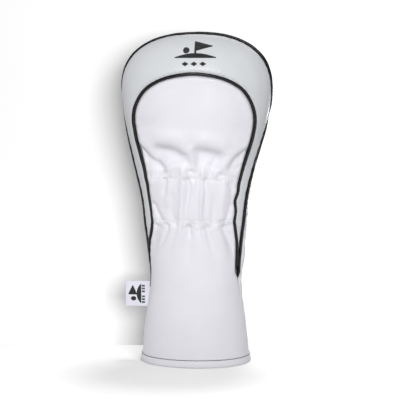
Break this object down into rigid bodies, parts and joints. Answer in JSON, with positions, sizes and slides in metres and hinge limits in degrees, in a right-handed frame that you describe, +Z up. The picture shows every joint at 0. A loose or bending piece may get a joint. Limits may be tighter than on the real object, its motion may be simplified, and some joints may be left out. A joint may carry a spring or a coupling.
{
  "type": "driver head cover",
  "caption": "Soft cover for a golf driver: padded head with a grey horseshoe gusset and corded seams, shirred elastic neck, folded hem and a side label.",
  "frame": {"origin": "centre of the hem's rest plane, under the cover as it stands on its mouth", "axes": "+Z up from the mouth to the top of the head, the front panel faces -Y, +X to the right seen from the front"},
  "size_m": [0.1501, 0.099, 0.3269],
  "materials": {
    "white_coated_fabric": "satin",
    "grey_coated_fabric": "satin",
    "black_piping": "gloss",
    "lining_fleece": "matte",
    "padding_foam": "matte",
    "elastic_webbing": "matte",
    "white_thread": "satin",
    "dark_thread": "satin",
    "label_woven": "satin"
  },
  "bodies": {
    "cover": {"front_panel": "white_coated_fabric", "back_panel": "white_coated_fabric", "crown_gusset": "grey_coated_fabric", "front_piping": "black_piping", "rear_piping": "black_piping", "front_padding": "padding_foam", "back_padding": "padding_foam", "gusset_padding": "padding_foam", "front_lining": "lining_fleece", "back_lining": "lining_fleece", "front_elastic": "elastic_webbing", "back_elastic": "elastic_webbing", "front_upper_zigzag": "white_thread", "front_lower_zigzag": "white_thread", "back_upper_zigzag": "white_thread", "back_lower_zigzag": "white_thread", "hem_band": "white_coated_fabric", "hem_topstitch": "dark_thread", "crown_emblem": "dark_thread", "crown_emblem_bar": "dark_thread"},
    "label": {"side_label": "label_woven", "label_mark": "dark_thread"}
  },
  "joints": [
    {"name": "label_flap", "type": "hinge", "parent": "cover", "child": "label", "pos_m": [-0.0502, 0.00496, 0.06596], "axis": [0.1526, 0.011, 0.9882], "range_deg": [-65, 65], "stiffness_Nm_per_rad": 0.002}
  ]
}
